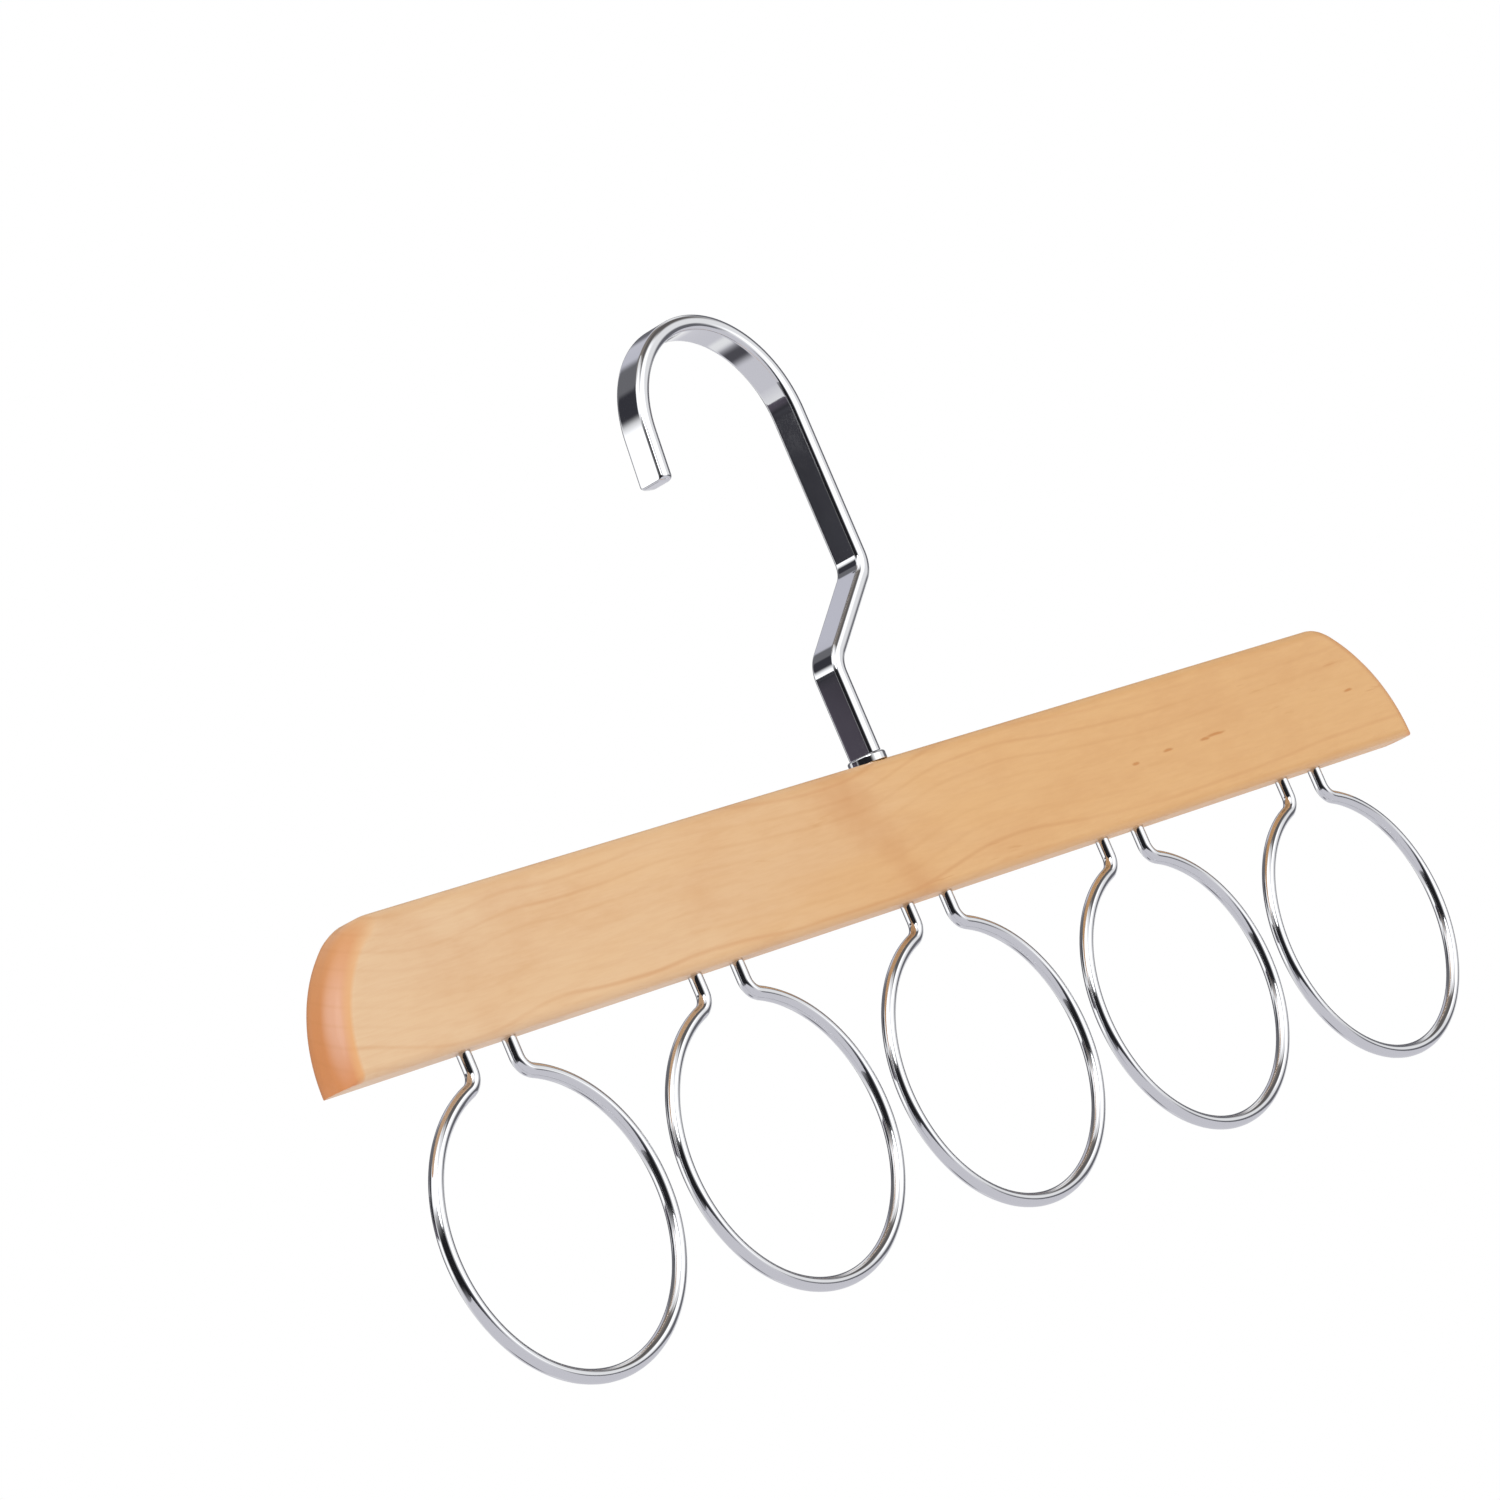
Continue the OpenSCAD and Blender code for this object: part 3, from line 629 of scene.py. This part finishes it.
def makeSwivel(sizes):
    r, h, e = sizes["flangeRadius"], sizes["flangeHeight"], sizes["flangeEdge"]
    bore, barrel, deep = sizes["boreRadius"], sizes["barrelRadius"], -sizes["barrelLength"]
    profile = np.concatenate([
        [[bore, deep + 0.2], [bore, -2], [bore, h - 0.15], [bore + 0.15, h], [r - e - 0.15, h]],
        cornerArc((r - e, h - e), e, 90, 0, 8),
        [[r, e], [r, 0.1], [r - 0.1, 0], [barrel, 0], [barrel, deep + 0.3], [barrel - 0.3, deep],
         [bore + 0.2, deep], [bore, deep + 0.2]]])
    part = gridPart(revolve(profile, (middleX, 0, boardTop), sizes["around"]), closed=True)
    makePiece("hookFerrule", [part], chrome, "hanger", "hook_ferrule", 28)
    outer, z, t = sizes["washerRadius"], sizes["washerTop"], sizes["washerHeight"]
    profile = np.array([[bore, z], [outer - 0.15, z], [outer, z - 0.15], [outer, z - t + 0.15],
                        [outer - 0.15, z - t], [bore, z - t], [bore, z]])
    part = gridPart(revolve(profile, (middleX, 0, boardTop), sizes["around"]), closed=True)
    makePiece("swivelWasher", [part], zincSteel, "hook", "swivel_washer", 28)


makeSwivel(swivel)
print("pieces made")


# Studio: a pale floor well below the hanging part, soft white light all round, one large lamp
paperColour = "#DEDDE3"  # lilac-grey paper, which the floor and the world show to polished metal
studio = {
    "floorLevel": -1.6, "floorSize": 7, "floorColour": "#D6D4DA",
    "floorGlow": 0.6,  # makes the floor white for the camera
    "floorLift": 0.38, "liftColour": "#F4F1FA",  # light that it throws up at the wood's underside
    # Patches on the mirrored floor: place, radius and colour
    "patches": [(-0.3, 1.34, 0.58, "#55545A"), (0.36, 1.34, 0.34, "#FFFFFF")],
    "daylight": 0.72, "lampPower": 22, "lampSize": 1.6, "lampPlace": (-1.4, -2.3, 1.5),
    "lampAim": (0, 0, -0.1),
    # The card beside the hook: its middle, the direction it runs in, half its length, the heights of
    # its edges and those between which it changes, and its two colours above and below
    "cardPlace": (-0.365, 0.32), "cardSide": (0.65, 0.76), "cardHalf": 0.16, "cardHeights": (-0.06, 0.084),
    "cardChange": (0.012, -0.03), "cardUpper": ("#2C2B2F", "#4A4A50"), "cardLower": ("#464149", "#6A6470"),
    # Soft-edged panels of the studio's wall, each over the ones before: azimuth, where 0 is +Y and 90
    # is +X, height above the horizon, half width, half height, soft edge, colour and strength
    "panels": [
        (0, -60, 180, 36, 22, paperColour, 1.0),  # paper on the floor
        (50, 17, 54, 15, 10, "#6E6E74", 1.0),     # paper behind the hanger, in its own shade
        (60, 74, 110, 12, 16, "#8C857E", 1.0),    # ceiling
        (20, 48, 26, 9, 12, "#D2D2DC", 1.0),      # pale wall under it
        (-14, 47, 22, 10, 14, "#747478", 1.0),    # gap between two soft boxes on the left
        (-38, 40, 12, 7, 7, "#3C3C42", 1.0),      # that gap's darkest part, at its lower corner
        (-48, 9, 11, 12, 6, "#FFFFFF", 1.5),      # small soft box on the left
        (118, -13, 22, 6, 8, "#707076", 1.0),     # shade low on the right
        (138, 42, 22, 14, 10, "#6B6765", 1.0),    # the second wall's corner
        (-156, -16, 26, 6, 14, "#626268", 1.0),   # shade low behind the camera
        (-117, 2, 36, 13, 27, "#232326", 1.0),    # the dark opening that the photograph is taken through
        (-120, 49, 46, 10, 10, "#FFFFFF", 1.6),   # soft box above it
        (158, 11, 16, 13, 10, "#FFFFFF", 1.6),    # soft box on the right
    ],
}
cameraSet = {
    "place": (-1.01376, -0.83749, -0.20335), "aim": (-0.03289, 0, -0.07123), "roll": -23.04, "lens": 142.3,
}


def turnTowards(place, aim, roll=0.0):
    # Axes of a camera or lamp: it looks along -Z, with its right side turned by the roll
    forward = (Vector(aim) - Vector(place)).normalized()
    level = forward.cross(Vector((0, 0, 1))).normalized()
    above = level.cross(forward)
    a = math.radians(roll)
    right, up = level * math.cos(a) + above * math.sin(a), above * math.cos(a) - level * math.sin(a)
    turn = Matrix((right, up, -forward)).transposed().to_4x4()
    turn.translation = Vector(place)
    return turn


def makeFloor(look):
    material, tree = newMaterial("white_studio_floor")
    node = partial(addNode, tree)
    path = node("LightPath").outputs
    diffuse = node("BsdfDiffuse", {"Color": linearColour(look["floorColour"])})
    glow = node("Emission", {"Color": (1, 1, 1, 1), "Strength": look["floorGlow"]})
    both = node("AddShader", {0: diffuse, 1: glow})
    seen = node("Math", {0: path["Is Camera Ray"], 1: path["Is Transmission Ray"]}, operation="MAXIMUM")
    # The floor is lit well all over, and throws light up at the wood's underside
    lift = node("Emission", {"Color": linearColour(look["liftColour"]), "Strength": look["floorLift"]})
    thrown = node("AddShader", {0: diffuse, 1: lift})
    mix = node("MixShader", {0: seen, 1: thrown, 2: both})
    # Polished metal mirrors the floor as the lilac-grey paper that the world has there too, with a
    # dim patch and a bright one on it
    place = node("TexCoord").outputs["Object"]
    mirrored = linearColour(paperColour)
    for x, y, radius, colour in look["patches"]:
        away = node("VectorMath", {0: place, 1: (x, y, 0)}, operation="DISTANCE").outputs["Value"]
        share = node("MapRange", {"Value": away, 1: radius, 2: radius * 0.2}, **soft)
        mirrored = node("Mix", {0: share, 6: mirrored, 7: linearColour(colour)}, data_type="RGBA").outputs[2]
    paper = node("Emission", {"Color": mirrored, "Strength": 1.0})
    mix = node("MixShader", {0: path["Is Glossy Ray"], 1: mix, 2: paper})
    node("OutputMaterial", {"Surface": mix})
    half = look["floorSize"] / 2
    mesh = bpy.data.meshes.new("studioFloor")
    corners = [(-half, -half, 0), (half, -half, 0), (half, half, 0), (-half, half, 0)]
    mesh.from_pydata(corners, [], [(0, 1, 2, 3)])
    mesh.materials.append(material)
    floor = bpy.data.objects.new("studioFloor", mesh)
    floor.location.z = look["floorLevel"]
    bpy.context.scene.collection.objects.link(floor)


def makeWorld(look):
    world = bpy.data.worlds.new("studioWorld")
    bpy.context.scene.world = world
    world.use_nodes = True
    tree = world.node_tree
    tree.nodes.clear()
    node = partial(addNode, tree)
    path = node("LightPath").outputs
    towards = node("TexCoord").outputs["Generated"]
    rise = node("SeparateXYZ", {0: towards}).outputs[2]
    above = node("Math", {0: rise}, operation="ARCSINE")
    # What polished metal mirrors: white walls, and the panels over them. A panel's share is the product
    # of two soft steps, of the angle sideways and of the angle up or down from its middle.
    mirrored = (1.0, 1.0, 1.0, 1.0)
    for azimuth, height, halfWide, halfHigh, edge, colour, strength in look["panels"]:
        a = math.radians(azimuth)
        ahead = node("VectorMath", {0: towards, 1: (math.sin(a), math.cos(a), 0)}, operation="DOT_PRODUCT")
        right = node("VectorMath", {0: towards, 1: (math.cos(a), -math.sin(a), 0)}, operation="DOT_PRODUCT")
        aside = node("Math", {0: right.outputs["Value"], 1: ahead.outputs["Value"]}, operation="ARCTAN2")
        off = node("Math", {0: above, 1: math.radians(height)}, operation="SUBTRACT")
        share = 1.0
        for angle, half in ((aside, halfWide), (off, halfHigh)):
            size = node("Math", {0: angle}, operation="ABSOLUTE")
            step = node("MapRange", {"Value": size, 1: math.radians(half + edge), 2: math.radians(half)},
                        **soft)
            share = node("Math", {0: share, 1: step}, operation="MULTIPLY")
        tint = tuple(part * strength for part in linearColour(colour)[:3]) + (1.0,)
        mirrored = node("Mix", {0: share, 6: mirrored, 7: tint}, data_type="RGBA").outputs[2]
    lit = node("Background", {"Color": (1, 1, 1, 1), "Strength": look["daylight"]})
    shown = node("Background", {"Color": (1, 1, 1, 1), "Strength": 1.0})
    inMetal = node("Background", {"Color": mirrored, "Strength": 1.0})
    seen = node("Math", {0: path["Is Camera Ray"], 1: path["Is Transmission Ray"]}, operation="MAXIMUM")
    first = node("MixShader", {0: seen, 1: lit, 2: shown})
    second = node("MixShader", {0: path["Is Glossy Ray"], 1: first, 2: inMetal})
    node("OutputWorld", {"Surface": second})


def makeCard(look):
    # A dark card beside the hook, seen by polished metal alone, which the hook's flat sides mirror
    material, tree = newMaterial("black_studio_card")
    node = partial(addNode, tree)
    place = node("TexCoord").outputs["Object"]
    level = node("SeparateXYZ", {0: place}).outputs[2]
    start, end = look["cardChange"]
    low = node("MapRange", {"Value": level, 1: start, 2: end}, **soft)
    cloudy = node("TexNoise", {"Vector": place, "Scale": 14.0, "Detail": 2.0})
    share = node("MapRange", {"Value": cloudy, 1: 0.3, 2: 0.75}, **soft)
    shades = []
    for first, second in (look["cardUpper"], look["cardLower"]):
        shades.append(node("Mix", {0: share, 6: linearColour(first), 7: linearColour(second)},
                           data_type="RGBA").outputs[2])
    shade = node("Mix", {0: low, 6: shades[0], 7: shades[1]}, data_type="RGBA").outputs[2]
    glow = node("Emission", {"Color": shade, "Strength": 1.0})
    node("OutputMaterial", {"Surface": glow})
    half, (foot, top) = look["cardHalf"], look["cardHeights"]
    (x, y), (sideX, sideY) = look["cardPlace"], look["cardSide"]
    corners = [(x + sideX * u, y + sideY * u, z)
               for u, z in ((-half, foot), (half, foot), (half, top), (-half, top))]
    mesh = bpy.data.meshes.new("studioCard")
    mesh.from_pydata(corners, [], [(0, 1, 2, 3)])
    mesh.materials.append(material)
    card = bpy.data.objects.new("studioCard", mesh)
    card.visible_camera = card.visible_diffuse = card.visible_transmission = card.visible_shadow = False
    bpy.context.scene.collection.objects.link(card)


def makeLamp(look):
    lamp = bpy.data.lights.new("softLamp", "AREA")
    lamp.shape, lamp.size, lamp.energy = "DISK", look["lampSize"], look["lampPower"]
    holder = bpy.data.objects.new("softLamp", lamp)
    holder.matrix_world = turnTowards(look["lampPlace"], look["lampAim"])
    bpy.context.scene.collection.objects.link(holder)


def makeCamera(sizes):
    camera = bpy.data.cameras.new("photoCamera")
    camera.sensor_width, camera.lens, camera.clip_end = 36, sizes["lens"], 100
    holder = bpy.data.objects.new("photoCamera", camera)
    holder.matrix_world = turnTowards(sizes["place"], sizes["aim"], sizes["roll"])
    bpy.context.scene.collection.objects.link(holder)
    bpy.context.scene.camera = holder


makeFloor(studio)
makeWorld(studio)
makeCard(studio)
makeLamp(studio)
makeCamera(cameraSet)
bpy.context.scene.view_settings.view_transform = "Standard"
print("studio made")
